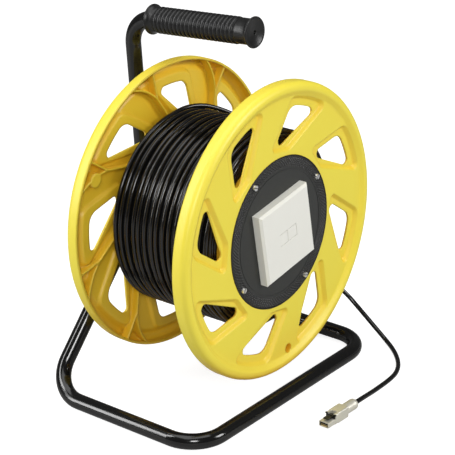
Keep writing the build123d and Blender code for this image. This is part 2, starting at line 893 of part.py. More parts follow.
def port_flap(side):
    """Spring flap that closes one port, with its hinge pin along the upper edge."""
    middle = side * port_pitch / 2
    flap_bottom = -port_height / 2 + flap_gap
    flap_top = flap_pin_height + flap_pin_to_edge
    with BuildPart() as flap:
        with BuildSketch(outlet_plane.offset(cover_depth - flap_setback)):
            with Locations((middle, (flap_bottom + flap_top) / 2)):
                Rectangle(port_width - 2 * flap_gap, flap_top - flap_bottom)
        extrude(amount=-flap_thickness)
        pin_middle = outlet_plane.from_local_coords((middle, flap_pin_height, flap_pin_level))
        with BuildSketch(Plane(pin_middle, x_dir=(0, 1, 0), z_dir=outlet_plane.x_dir)):
            Circle(flap_pin_radius)
        extrude(amount=port_width / 2 + flap_pin_seat - running_fit, both=True)
    return flap


for side, name in ((-1, "port_flap_left"), (1, "port_flap_right")):
    finish(port_flap(side), name)


# ---- Cords -----------------------------------------------------------------------------------


def cord_arcs(points):
    """Each arc is as large as its two runs allow: 0.45 of the shorter run over tan(half turn)."""
    radii = []
    for before, corner, after in zip(points, points[1:], points[2:]):
        run_in = Vector(*corner) - Vector(*before)
        run_out = Vector(*after) - Vector(*corner)
        half_turn = math.radians(run_in.get_angle(run_out)) / 2
        radii.append(0.45 * min(run_in.length, run_out.length) / math.tan(half_turn))
    return radii


def cord_tube(points, label):
    """Round cord along straight runs joined by tangent arcs."""
    radii = cord_arcs(points)
    with BuildPart() as cord:
        with BuildLine() as path:
            FilletPolyline(*points, radius=radii)
        start = Vector(*points[0])
        with BuildSketch(Plane(start, z_dir=Vector(*points[1]) - start)):
            Circle(cable_diameter / 2)
        sweep(path=path.line)
    length = sum(edge.length for edge in path.line.edges())
    swept = math.pi * cable_diameter**2 / 4 * length
    print(label, "length", round(length, 1), "radii", [round(radius, 1) for radius in radii])
    print(label, "volume", round(cord.part.volume), "section times length", round(swept))
    return cord


# inner end of the cable: through the core's wall, into the box and up to the jack
tail_points = [
    tuple(outlet_plane.from_local_coords((across, 0, level)))
    for across, level in (
        (-core_radius, -tail_entry_depth),
        (-48.0, -tail_entry_depth),
        (-24.0, -54.0),
        (-tail_jack_offset, -38.0),
        (-tail_jack_offset, -jack_depth),
    )
]
finish(cord_tube(tail_points, "inner_cable_tail"), "inner_cable_tail")

plug_middle = (plug_rear[0], plug_rear[1], plug_axis_height)
plug_side = plug_nose_y - plug_rear[1]
plug_forward = Vector(-math.sqrt(plug_length**2 - plug_side**2), plug_side, 0).normalized()


plug_side_direction = Vector(0, 0, 1).cross(plug_forward)


def plug_at(along):
    """Plane square to the plug: X to its side, Y up, normal towards its nose."""
    origin = Vector(*plug_middle) + plug_forward * along
    return Plane(origin, x_dir=plug_side_direction, z_dir=plug_forward)


# free lead: leaves the winding on its right side and lies on the floor up to the plug
lead_points = [
    (105.9, -20.0, 198.0),
    (108.3, -20.3, 158.0),
    (121.0, -22.0, 117.0),
    (143.0, -26.5, 84.0),
    (164.0, -36.5, 60.5),
    (176.8, -50.5, 42.0),
    (178.3, -66.0, 28.5),
    (176.4, -86.5, 14.5),
    (172.4, -107.2, 2.8),
    (160.0, -124.3, 2.6),
    (146.3, -139.2, 2.6),
    (130.2, -152.2, 2.6),
    (112.4, -160.5, 2.6),
    (94.5, -163.0, 2.6),
    (76.0, -163.6, 2.6),
    (60.0, -164.4, 3.3),
    (45.0, -165.8, 5.2),
    tuple(plug_at(-lead_approach).origin),
    tuple(plug_at(plug_socket_depth).origin),
]
finish(cord_tube(lead_points, "lead_cable"), "lead_cable")


# ---- Plug --------------------------------------------------------------------------------------

with BuildPart() as plug_collar:
    with BuildSketch(Plane(plug_middle, x_dir=(0, 0, 1), z_dir=plug_side_direction)):
        with BuildLine():
            Line((0, 0), (collar_mouth_radius, 0))
            Spline(
                (collar_mouth_radius, 0),
                (collar_radius, collar_dome),
                tangents=[(1, 0), (0, 1)],
            )
            Polyline((collar_radius, collar_dome), (collar_radius, collar_length), (0, collar_length), (0, 0))
        make_face()
    revolve(axis=Axis(plug_middle, plug_forward))
    with BuildSketch(plug_at(0)):
        Circle(cable_diameter / 2 + running_fit)
    extrude(amount=plug_socket_depth, mode=Mode.SUBTRACT)
finish(plug_collar, "plug_collar")

with BuildPart() as plug_shell:
    with BuildSketch(plug_at(collar_length)):
        RectangleRounded(body_width, body_height, body_rounding)
    extrude(amount=body_end - collar_length)
    chamfer(plug_shell.faces().sort_by(Axis.X)[-1].edges(), body_rounding / 2)
finish(plug_shell, "plug_shell")

nose_top = nose_height / 2 - nose_drop
with BuildPart() as plug_nose:
    with BuildSketch(plug_at(body_end)):
        with Locations((0, -nose_drop)):
            RectangleRounded(nose_width, nose_height, nose_wall)
            Rectangle(nose_width - 2 * nose_wall, nose_height - 2 * nose_wall, mode=Mode.SUBTRACT)
    extrude(amount=plug_length - body_end)
finish(plug_nose, "plug_nose")

with BuildPart() as plug_insulator:
    with BuildSketch(plug_at(body_end)):
        with Locations((0, -nose_drop)):
            Rectangle(nose_width - 2 * nose_wall - running_fit, nose_height - 2 * nose_wall - running_fit)
    extrude(amount=plug_length - body_end - nose_recess)
    contact_floor = -nose_drop - nose_height / 2 + nose_wall + running_fit
    with BuildSketch(plug_at(plug_length - nose_recess - contact_length)):
        with Locations((0, contact_floor + contact_height / 2)):
            with GridLocations(contact_pitch, 1, contact_count, 1):
                Rectangle(contact_width + running_fit, contact_height)
    extrude(amount=contact_length, mode=Mode.SUBTRACT)
finish(plug_insulator, "plug_insulator")

with BuildPart() as plug_contacts:
    with BuildSketch(plug_at(plug_length - nose_recess - contact_length)):
        with Locations((0, contact_floor + contact_height / 2)):
            with GridLocations(contact_pitch, 1, contact_count, 1):
                Rectangle(contact_width, contact_height - running_fit)
    extrude(amount=contact_length)
finish(plug_contacts, "plug_contacts")

latch_pin_level = nose_top + latch_gap + latch_thickness / 2
with BuildPart() as plug_bezel:
    with BuildSketch(plug_at(body_end)):
        RectangleRounded(bezel_width, bezel_height, body_rounding)
        with Locations((0, -nose_drop)):
            Rectangle(nose_width + running_fit, nose_height + running_fit, mode=Mode.SUBTRACT)
        with Locations((0, nose_top + body_height / 2)):
            Rectangle(latch_width + 2 * latch_side_gap, body_height, mode=Mode.SUBTRACT)
    extrude(amount=bezel_end - body_end)
    pin_place = plug_at(latch_pin_along)
    pin_centre = pin_place.from_local_coords((0, latch_pin_level))
    with BuildSketch(Plane(pin_centre, x_dir=(0, 0, 1), z_dir=pin_place.x_dir)):
        Circle(latch_pin_radius + running_fit)
    extrude(amount=latch_pin_length / 2 + running_fit, both=True, mode=Mode.SUBTRACT)
finish(plug_bezel, "plug_bezel")

with BuildPart() as plug_latch:
    with BuildSketch(plug_at(latch_pin_along - latch_thickness)):
        with Locations((0, latch_pin_level)):
            Rectangle(latch_width, latch_thickness)
    extrude(amount=latch_length)
    with BuildSketch(Plane(pin_centre, x_dir=(0, 0, 1), z_dir=pin_place.x_dir)):
        Circle(latch_pin_radius)
    extrude(amount=latch_pin_length / 2, both=True)
finish(plug_latch, "plug_latch")
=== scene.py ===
import math

import bpy
import numpy as np
from mathutils import Matrix, Vector


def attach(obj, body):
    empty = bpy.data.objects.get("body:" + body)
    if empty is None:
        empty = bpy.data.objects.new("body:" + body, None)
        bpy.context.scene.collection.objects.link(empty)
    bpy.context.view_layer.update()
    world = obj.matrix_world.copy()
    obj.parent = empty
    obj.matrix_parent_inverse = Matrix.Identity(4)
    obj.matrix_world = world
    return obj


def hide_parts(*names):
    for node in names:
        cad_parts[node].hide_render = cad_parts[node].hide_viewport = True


# A yellow cable reel on a bent-tube stand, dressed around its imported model.
# Metres: X right, Y back, Z up, the origin on the floor under the stand.

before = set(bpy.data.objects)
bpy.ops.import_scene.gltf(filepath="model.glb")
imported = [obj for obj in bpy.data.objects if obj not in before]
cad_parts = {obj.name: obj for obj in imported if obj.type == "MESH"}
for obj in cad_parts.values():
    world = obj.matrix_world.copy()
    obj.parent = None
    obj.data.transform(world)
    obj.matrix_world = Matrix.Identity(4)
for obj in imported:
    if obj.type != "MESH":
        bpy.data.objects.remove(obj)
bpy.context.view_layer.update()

MM = 0.001

# ---- Sizes shared by the pieces ---------------------------------------------------------

hub_height = 187 * MM
core_radius = 85.5 * MM
cable_radius = 2.5 * MM
face_of_web = -89.95 * MM


def around_hub(radius, angle, y):
    """Point at this radius and angle about the drum's axis; angle 0 points right."""
    return Vector((radius * math.cos(angle), y, hub_height + radius * math.sin(angle)))


# ---- Camera --------------------------------------------------------------------------------


def look_from(place, forward, roll, lens):
    """Camera at a place, looking along forward and rolled about its own axis."""
    data = bpy.data.cameras.new("camera")
    data.sensor_width = 36.0
    data.lens = lens
    data.clip_end = 50.0
    camera = bpy.data.objects.new("camera", data)
    bpy.context.scene.collection.objects.link(camera)
    forward = Vector(forward).normalized()
    level = forward.cross(Vector((0, 0, 1))).normalized()
    raised = level.cross(forward)
    right = level * math.cos(roll) + raised * math.sin(roll)
    up = raised * math.cos(roll) - level * math.sin(roll)
    turn = Matrix((right, up, -forward)).transposed().to_4x4()
    camera.matrix_world = Matrix.Translation(place) @ turn
    bpy.context.scene.camera = camera


look_from(
    place=(-1.2742, -1.04635, 0.8620),
    forward=(0.7185, 0.5778, -0.3872),
    roll=math.radians(-0.85),
    lens=135.73,
)


# ---- Cord ----------------------------------------------------------------------------------

# the free lead: down the right side of the winding, over the base tube's right side
# and along the floor to its plug
lead_exit = (105.9, -20.0, 198.0)
lead_route = [
    lead_exit,
    (108.3, -20.3, 158.0),
    (121.0, -22.0, 117.0),
    (143.0, -26.5, 84.0),
    (164.0, -36.5, 60.5),
    (176.8, -50.5, 42.0),
    (178.3, -66.0, 28.5),
    (176.4, -86.5, 14.5),
    (172.4, -107.2, 2.8),
    (160.0, -124.3, 2.6),
    (146.3, -139.2, 2.6),
    (130.2, -152.2, 2.6),
    (112.4, -160.5, 2.6),
    (94.5, -163.0, 2.6),
    (76.0, -163.6, 2.6),
    (60.0, -164.4, 3.3),
    (45.0, -165.8, 5.2),
    (33.10, -166.95, 6.5),
    (22.30, -166.62, 6.5),
]


def cord_curve(name, route, radius):
    """Smooth round cord whose NURBS line takes the route as its control points."""
    data = bpy.data.curves.new(name, "CURVE")
    data.dimensions = "3D"
    data.resolution_u = 12
    data.bevel_depth = radius
    data.bevel_resolution = 6
    data.use_fill_caps = True
    line = data.splines.new("NURBS")
    line.points.add(len(route) - 1)
    for point, place in zip(line.points, route):
        point.co = (place[0] * MM, place[1] * MM, place[2] * MM, 1)
    line.order_u = 3
    line.use_endpoint_u = True
    cord = bpy.data.objects.new(name, data)
    bpy.context.scene.collection.objects.link(cord)
    return cord


lead = cord_curve("free_lead", lead_route, cable_radius)


# ---- Node groups shared by the finishes ------------------------------------------------------


def new_group(name, inputs, outputs):
    """Empty node group with named sockets, and its two end nodes."""
    group = bpy.data.node_groups.new(name, "ShaderNodeTree")
    for label, kind, value in inputs:
        socket = group.interface.new_socket(name=label, in_out="INPUT", socket_type=kind)
        socket.default_value = value
    for label, kind in outputs:
        group.interface.new_socket(name=label, in_out="OUTPUT", socket_type=kind)
    start = group.nodes.new("NodeGroupInput")
    end = group.nodes.new("NodeGroupOutput")
    return group, start, end


def wire(tree, source, target):
    tree.links.new(source, target)


def calculate(tree, operation, *values, clamp=False):
    """Math node fed by numbers or sockets; returns its output."""
    node = tree.nodes.new("ShaderNodeMath")
    node.operation = operation
    node.use_clamp = clamp
    for socket, value in zip(node.inputs, values):
        if isinstance(value, (int, float)):
            socket.default_value = value
        else:
            wire(tree, value, socket)
    return node.outputs[0]


def noise(tree, place, scale, detail=2.0, roughness=0.5):
    """Noise value over a place socket; scale may be a number or a socket."""
    node = tree.nodes.new("ShaderNodeTexNoise")
    node.inputs["Detail"].default_value = detail
    node.inputs["Roughness"].default_value = roughness
    wire(tree, place, node.inputs["Vector"])
    if isinstance(scale, (int, float)):
        node.inputs["Scale"].default_value = scale
    else:
        wire(tree, scale, node.inputs["Scale"])
    return node.outputs["Fac"]


def blended(tree, share, first, second, kind="MIX"):
    """Colour between two colours; share, first and second may be values or sockets."""
    node = tree.nodes.new("ShaderNodeMix")
    node.data_type = "RGBA"
    node.blend_type = kind
    for socket, value in ((node.inputs[0], share), (node.inputs[6], first), (node.inputs[7], second)):
        if isinstance(value, (int, float, tuple)):
            socket.default_value = value
        else:
            wire(tree, value, socket)
    return node.outputs[2]


def object_place(tree):
    return tree.nodes.new("ShaderNodeTexCoord").outputs["Object"]


def grain_group():
    """Fine relief of a moulded, coated or cast surface."""
    group, start, end = new_group(
        "surface_grain",
        [("Fine Scale", "NodeSocketFloat", 1500.0), ("Broad Scale", "NodeSocketFloat", 120.0),
         ("Broad Share", "NodeSocketFloat", 0.5)],
        [("Height", "NodeSocketFloat")],
    )
    place = object_place(group)
    fine = noise(group, place, start.outputs["Fine Scale"], 3.0)
    broad = noise(group, place, start.outputs["Broad Scale"], 2.0)
    mixed = calculate(group, "MULTIPLY", broad, start.outputs["Broad Share"])
    wire(group, calculate(group, "ADD", fine, mixed), end.inputs["Height"])
    return group


def tone_group():
    """Slow drift of a colour's tone over a piece, and the shine that goes with it."""
    group, start, end = new_group(
        "tone_drift",
        [("Color", "NodeSocketColor", (0.5, 0.5, 0.5, 1)),
         ("Deep Color", "NodeSocketColor", (0.4, 0.4, 0.4, 1)),
         ("Scale", "NodeSocketFloat", 14.0), ("Amount", "NodeSocketFloat", 0.3),
         ("Roughness", "NodeSocketFloat", 0.4), ("Roughness Drift", "NodeSocketFloat", 0.08)],
        [("Color", "NodeSocketColor"), ("Roughness", "NodeSocketFloat")],
    )
    place = object_place(group)
    drift = noise(group, place, start.outputs["Scale"], 4.0, 0.6)
    share = calculate(group, "MULTIPLY", drift, start.outputs["Amount"], clamp=True)
    toned = blended(group, share, start.outputs["Color"], start.outputs["Deep Color"])
    wire(group, toned, end.inputs["Color"])
    smudge = noise(group, place, calculate(group, "MULTIPLY", start.outputs["Scale"], 5.0), 3.0)
    centred = calculate(group, "SUBTRACT", smudge, 0.5)
    swing = calculate(group, "MULTIPLY", centred, start.outputs["Roughness Drift"])
    wire(group, calculate(group, "ADD", start.outputs["Roughness"], swing), end.inputs["Roughness"])
    return group


def dust_group():
    """Thin dust on surfaces that face up."""
    group, start, end = new_group(
        "settled_dust",
        [("Color", "NodeSocketColor", (0.5, 0.5, 0.5, 1)), ("Amount", "NodeSocketFloat", 0.04)],
        [("Color", "NodeSocketColor")],
    )
    geometry = group.nodes.new("ShaderNodeNewGeometry")
    split = group.nodes.new("ShaderNodeSeparateXYZ")
    wire(group, geometry.outputs["Normal"], split.inputs[0])
    upward = calculate(group, "POWER", calculate(group, "MAXIMUM", split.outputs["Z"], 0.0), 3.0)
    patchy = noise(group, object_place(group), 60.0, 5.0, 0.65)
    settled = calculate(group, "MULTIPLY", upward, patchy)
    mask = calculate(group, "MULTIPLY", settled, start.outputs["Amount"], clamp=True)
    wire(group, blended(group, mask, start.outputs["Color"], (0.62, 0.60, 0.56, 1)), end.inputs["Color"])
    return group


surface_grain = grain_group()
tone_drift = tone_group()
settled_dust = dust_group()


# ---- Finishes --------------------------------------------------------------------------------


def place_group(tree, group, **values):
    node = tree.nodes.new("ShaderNodeGroup")
    node.node_tree = group
    for label, value in values.items():
        node.inputs[label.replace("_", " ")].default_value = value
    return node


def finish(name, colour, deep, roughness, drift=0.08, tone_scale=14.0, tone=0.3, dust=0.03,
           fine=1500.0, broad=120.0, broad_share=0.5, relief=0.05, depth=0.1, metallic=0.0,
           specular=0.5, soft_edge=0.0, painted_shade=None, painted_shade_reach=0.12):
    """Principled finish with tone drift, dust and surface grain.

    soft_edge rounds the edges' shading by this many millimetres. The painted shade tint is what the colour is
    multiplied by where little light reaches, within the reach in metres given with it: painted shade in
    corners, grooves and hollows.
    """
    material = bpy.data.materials.new(name)
    material.use_nodes = True
    tree = material.node_tree
    shader = tree.nodes["Principled BSDF"]
    shader.inputs["Metallic"].default_value = metallic
    shader.inputs["Specular IOR Level"].default_value = specular
    toned = place_group(tree, tone_drift, Color=(*colour, 1), Deep_Color=(*deep, 1), Scale=tone_scale,
                        Amount=tone, Roughness=roughness, Roughness_Drift=drift)
    dusty = place_group(tree, settled_dust, Amount=dust)
    # painted shade: where ambient occlusion finds surfaces nearby, the colour is multiplied by the tint
    if painted_shade:
        shade = tree.nodes.new("ShaderNodeAmbientOcclusion")
        shade.samples = 8
        shade.inputs["Distance"].default_value = painted_shade_reach
        shaded = calculate(tree, "SUBTRACT", 1.0, shade.outputs["AO"])
        painted_shade_share = calculate(tree, "MULTIPLY", shaded, 1.5, clamp=True)
        tinted = blended(tree, painted_shade_share, toned.outputs["Color"], (*painted_shade, 1), kind="MULTIPLY")
        wire(tree, tinted, dusty.inputs["Color"])
    else:
        wire(tree, toned.outputs["Color"], dusty.inputs["Color"])
    wire(tree, dusty.outputs["Color"], shader.inputs["Base Color"])
    wire(tree, toned.outputs["Roughness"], shader.inputs["Roughness"])
    grain = place_group(tree, surface_grain, Fine_Scale=fine, Broad_Scale=broad, Broad_Share=broad_share)
    bump = tree.nodes.new("ShaderNodeBump")
    bump.inputs["Strength"].default_value = relief
    bump.inputs["Distance"].default_value = depth * MM
    wire(tree, grain.outputs["Height"], bump.inputs["Height"])
    if soft_edge:
        edge = tree.nodes.new("ShaderNodeBevel")
        edge.samples = 8
        edge.inputs["Radius"].default_value = soft_edge * MM
        wire(tree, edge.outputs["Normal"], bump.inputs["Normal"])
    wire(tree, bump.outputs["Normal"], shader.inputs["Normal"])
    return material


yellow_colours = ((0.83, 0.705, 0.058), (0.80, 0.665, 0.045))
yellow_surface = dict(
    roughness=0.42, drift=0.10, tone_scale=9.0, tone=0.5, dust=0.02, fine=2600.0, broad=90.0,
    broad_share=0.6, relief=0.2, depth=0.12, specular=0.6,
)
# the yellow turns a deeper orange where little light reaches: painted shade standing in for light bounced
# between the yellow walls
yellow_moulding = finish(
    "yellow_moulding", *yellow_colours, **yellow_surface,
    soft_edge=2.4, painted_shade=(1.0, 0.66, 0.34), painted_shade_reach=0.10,
)
# the ribbed side shows softer edges and a painted orange shade that reaches further into its hollows
ribbed_moulding = finish(
    "ribbed_moulding", *yellow_colours, **yellow_surface,
    soft_edge=3.5, painted_shade=(1.0, 0.74, 0.38), painted_shade_reach=0.16,
)
black_coated_tube = finish(
    "black_coated_tube", (0.004, 0.004, 0.004), (0.007, 0.007, 0.006), 0.13, drift=0.06, tone_scale=20.0,
    dust=0.006, fine=1400.0, broad=420.0, broad_share=1.2, relief=0.05, depth=0.05, specular=0.5,
)
grip_rubber = finish(
    "grip_rubber", (0.006, 0.006, 0.006), (0.010, 0.010, 0.010), 0.34, drift=0.05, tone_scale=40.0,
    dust=0.005, fine=2400.0, broad=300.0, broad_share=0.5, relief=0.03, depth=0.04, specular=0.4,
)
cable_sheath = finish(
    "cable_sheath", (0.005, 0.005, 0.005), (0.009, 0.009, 0.008), 0.17, drift=0.08, tone_scale=30.0,
    dust=0.006, fine=1800.0, broad=160.0, broad_share=1.0, relief=0.03, depth=0.05, specular=0.5,
)
plate_plastic = finish(
    "plate_plastic", (0.026, 0.027, 0.025), (0.020, 0.021, 0.019), 0.40, drift=0.10, tone_scale=25.0,
    dust=0.01, fine=1700.0, broad=260.0, broad_share=0.5, relief=0.35, depth=0.12, specular=0.4,
)
# the knurl's grooves are painted near-black where little light reaches: painted shade
knurled_plastic = finish(
    "knurled_plastic", (0.026, 0.026, 0.025), (0.020, 0.020, 0.019), 0.36, drift=0.08, tone_scale=25.0,
    dust=0.008, fine=1700.0, broad=260.0, broad_share=0.5, relief=0.2, depth=0.1, specular=0.4,
    painted_shade=(0.02, 0.02, 0.02), painted_shade_reach=0.005,
)
outlet_plastic = finish(
    "outlet_plastic", (0.80, 0.795, 0.735), (0.77, 0.765, 0.70), 0.32, drift=0.08, tone_scale=18.0, tone=0.4,
    dust=0.01, fine=2200.0, broad=150.0, broad_share=0.5, relief=0.12, depth=0.08, soft_edge=0.5,
)
dark_plastic = finish(
    "dark_plastic", (0.006, 0.006, 0.005), (0.010, 0.010, 0.009), 0.34, drift=0.10, fine=1900.0,
    relief=0.1, depth=0.06, specular=0.3,
)
plug_nickel = finish(
    "plug_nickel", (0.84, 0.82, 0.72), (0.72, 0.69, 0.58), 0.42, drift=0.16, tone_scale=70.0, tone=0.6,
    dust=0.0, fine=2600.0, broad=420.0, broad_share=0.8, relief=0.3, depth=0.10, metallic=0.7,
)
# the screw slots and tight corners are painted dark where little light reaches: painted shade
zinc_steel = finish(
    "zinc_steel", (0.92, 0.92, 0.90), (0.80, 0.80, 0.78), 0.26, drift=0.14, tone_scale=90.0, tone=0.5,
    dust=0.0, fine=2400.0, broad=400.0, relief=0.15, depth=0.06, metallic=1.0,
    painted_shade=(0.06, 0.06, 0.06), painted_shade_reach=0.0016,
)
bearing_bronze = finish(
    "bearing_bronze", (0.60, 0.38, 0.18), (0.46, 0.28, 0.12), 0.35, drift=0.12, tone_scale=80.0, tone=0.5,
    dust=0.0, fine=2000.0, relief=0.2, depth=0.08, metallic=1.0,
)
contact_gold = finish(
    "contact_gold", (0.62, 0.46, 0.20), (0.50, 0.36, 0.14), 0.30, drift=0.08, tone_scale=200.0,
    dust=0.0, fine=2600.0, relief=0.1, depth=0.05, metallic=1.0,
)

node_finishes = {
    "axle": zinc_steel,
    "axle_lock_nut": zinc_steel,
    "axle_washer": zinc_steel,
    "base_tube": black_coated_tube,
    "bush_front": bearing_bronze,
    "bush_rear": bearing_bronze,
    "core_grommet": dark_plastic,
    "core_tube": yellow_moulding,
    "front_flange": yellow_moulding,
    "handle_grip": grip_rubber,
    "hub_plate": black_coated_tube,
    "hub_screws": zinc_steel,
    "inner_cable_tail": cable_sheath,
    "insert_plate": plate_plastic,
    "insert_screws": zinc_steel,
    "jack_module": dark_plastic,
    "plug_bezel": plug_nickel,
    "plug_collar": plug_nickel,
    "plug_contacts": contact_gold,
    "plug_insulator": dark_plastic,
    "plug_latch": dark_plastic,
    "plug_nose": plug_nickel,
    "plug_shell": plug_nickel,
    "port_flap_left": outlet_plastic,
    "port_flap_right": outlet_plastic,
    "rear_flange": ribbed_moulding,
    "rear_hub": yellow_moulding,
    "socket_back_box": dark_plastic,
    "socket_cover": outlet_plastic,
    "socket_frame": zinc_steel,
    "socket_frame_screws": zinc_steel,
    "thrust_washer": zinc_steel,
    "upright_tube": black_coated_tube,
}
for node, material in node_finishes.items():
    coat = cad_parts[node].data.materials
    coat.clear()
    coat.append(material)


# ---- Lead ------------------------------------------------------------------------------------

lead.data.materials.append(cable_sheath)
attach(lead, "stand")
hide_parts("lead_cable")


# ---- Winding ---------------------------------------------------------------------------------


def mesh_piece(name, points, faces, material, smooth=True):
    """Object from plain lists, with its finish."""
    mesh = bpy.data.meshes.new(name)
    mesh.from_pydata(points, [], faces)
    mesh.materials.append(material)
    mesh.polygons.foreach_set("use_smooth", [smooth] * len(mesh.polygons))
    mesh.update()
    piece = bpy.data.objects.new(name, mesh)
    bpy.context.scene.collection.objects.link(piece)
    return piece


def wound_tube(name, angles, radii, depths, thickness, sides, material):
    """Cable wound about the drum's axis: radius and depth for each angle along it."""
    angles, radii, depths = (np.asarray(values, float) for values in (angles, radii, depths))
    outward = np.stack([np.cos(angles), np.zeros_like(angles), np.sin(angles)], 1)
    centre = outward * radii[:, None]
    centre[:, 1] = depths
    centre[:, 2] += hub_height
    along = np.gradient(centre, axis=0)
    along /= np.linalg.norm(along, axis=1)[:, None]
    outward -= along * (outward * along).sum(1)[:, None]
    outward /= np.linalg.norm(outward, axis=1)[:, None]
    across = np.cross(along, outward)
    turn = np.arange(sides) * 2 * math.pi / sides
    ring = (
        centre[:, None, :]
        + thickness * np.cos(turn)[None, :, None] * outward[:, None, :]
        + thickness * np.sin(turn)[None, :, None] * across[:, None, :]
    )
    points = ring.reshape(-1, 3).tolist()
    faces = []
    for step in range(len(angles) - 1):
        base = step * sides
        for side in range(sides):
            after = (side + 1) % sides
            faces.append((base + side, base + side + sides, base + after + sides, base + after))
    last = (len(angles) - 1) * sides
    faces.append(tuple(range(sides)))
    faces.append(tuple(reversed(range(last, last + sides))))
    return mesh_piece(name, points, faces, material)


def ease(share):
    share = min(max(share, 0.0), 1.0)
    return share * share * (3 - 2 * share)


winding_front = -78.25 * MM
winding_rear = 46.15 * MM
winding_radius = 103.7 * MM
outer_turns = 16
outer_pitch = (winding_rear - winding_front) / outer_turns
top_radius = winding_radius - cable_radius
first_layer = core_radius + 0.3 * MM + cable_radius
layer_rise = (top_radius - first_layer) / 3
steps_per_turn = 96

# a turn keeps its place for most of the way round and steps over to the next one low
# on the right, at this angle and within this share of the turn
step_over_angle = math.radians(-48)
step_over_share = 0.20


def ring_depths(places):
    """Depth along a layer whose turns lie at these places, stepping over between them."""
    def depth(turn):
        whole = min(max(int(math.floor(turn)), 0), len(places) - 1)
        following = places[min(whole + 1, len(places) - 1)]
        moved = ease((turn - whole - (1 - step_over_share)) / step_over_share)
        return places[whole] + (following - places[whole]) * moved
    return depth


def wind_layer(radius, places, turns):
    """Angles, radii and depths of one layer that takes the places one after the other."""
    depth = ring_depths(places)
    start = step_over_angle - step_over_share * math.pi
    angles, radii, depths = [], [], []
    for step in range(turns * steps_per_turn + 1):
        turn = step / steps_per_turn
        angles.append(start - turn * 2 * math.pi)
        radii.append(radius)
        depths.append(depth(turn))
    return angles, radii, depths


inner_turns = 24
inner_pitch = (winding_rear - winding_front) / inner_turns
inner_places = [winding_front + (turn + 0.5) * inner_pitch for turn in range(inner_turns)]
layers = []
for layer in range(3):
    places = inner_places if layer % 2 else inner_places[::-1]
    layers.append(wind_layer(first_layer + layer * layer_rise, places, inner_turns))

# hand-laid turns of the top layer: some lie in pairs, others leave a gap
turn_shifts = [0.0, 0.5, -0.9, 0.7, 0.9, -0.6, 0.2, -0.2, 0.9, -0.8, 0.3, 1.0, -0.9, 0.0, 0.8, -0.3]
outer_places = [
    winding_front + (turn + 0.5) * outer_pitch + shift * MM for turn, shift in enumerate(turn_shifts)
]
top_angles, top_radii, top_depths = wind_layer(top_radius, outer_places, outer_turns - 1)

# the last turn lies on the rear place, lifts over the left shoulder and comes forward
# across the others to the lead
exit_across = lead_exit[0] * MM
exit_raised = lead_exit[2] * MM - hub_height
exit_radius = math.hypot(exit_across, exit_raised)
exit_angle = math.atan2(exit_raised, exit_across)
exit_depth = lead_exit[1] * MM
crossing_radius = winding_radius + cable_radius + 0.2 * MM
# degrees before the exit at which the last turn starts and ends its lift, comes forward
# and settles to the lead's radius
lift_from, lift_over = 92, 32
forward_over = 82
settle_over = 45
last_start = top_angles[-1]
last_end = exit_angle - 2 * math.pi * math.ceil((exit_angle - last_start) / (2 * math.pi))
last_sweep = last_start - last_end
steps = int(last_sweep / (2 * math.pi) * steps_per_turn)
for step in range(1, steps + 1):
    angle = last_start - last_sweep * step / steps
    before_exit = math.degrees(angle - last_end)
    lift = ease((lift_from - before_exit) / lift_over)
    settle = ease((settle_over - before_exit) / settle_over)
    top_angles.append(angle)
    top_radii.append(
        top_radius + (crossing_radius - top_radius) * lift + (exit_radius - crossing_radius) * settle
    )
    forward = ease((forward_over - before_exit) / forward_over)
    top_depths.append(outer_places[-1] + (exit_depth - outer_places[-1]) * forward)
layers.append((top_angles, top_radii, top_depths))

for layer, (angles, radii, depths) in enumerate(layers):
    sides = 12 if layer > 1 else 8
    piece = wound_tube(f"winding_layer_{layer + 1}", angles, radii, depths, cable_radius, sides, cable_sheath)
    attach(piece, "drum")
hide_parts("cable_winding")


# ---- Grip ------------------------------------------------------------------------------------


def turned_piece(name, profile, start, direction, sides, material):
    """Piece turned about an axis from (radius, distance along it) pairs, in metres."""
    direction = Vector(direction).normalized()
    first = direction.orthogonal().normalized()
    second = direction.cross(first)
    points, faces = [], []
    for radius, along in profile:
        middle = Vector(start) + direction * along
        for side in range(sides):
            angle = side * 2 * math.pi / sides
            points.append(middle + (first * math.cos(angle) + second * math.sin(angle)) * radius)
    for ring in range(len(profile) - 1):
        for side in range(sides):
            after = (side + 1) % sides
            low, high = ring * sides, (ring + 1) * sides
            faces.append((low + side, low + after, high + after, high + side))
    return mesh_piece(name, points, faces, material)


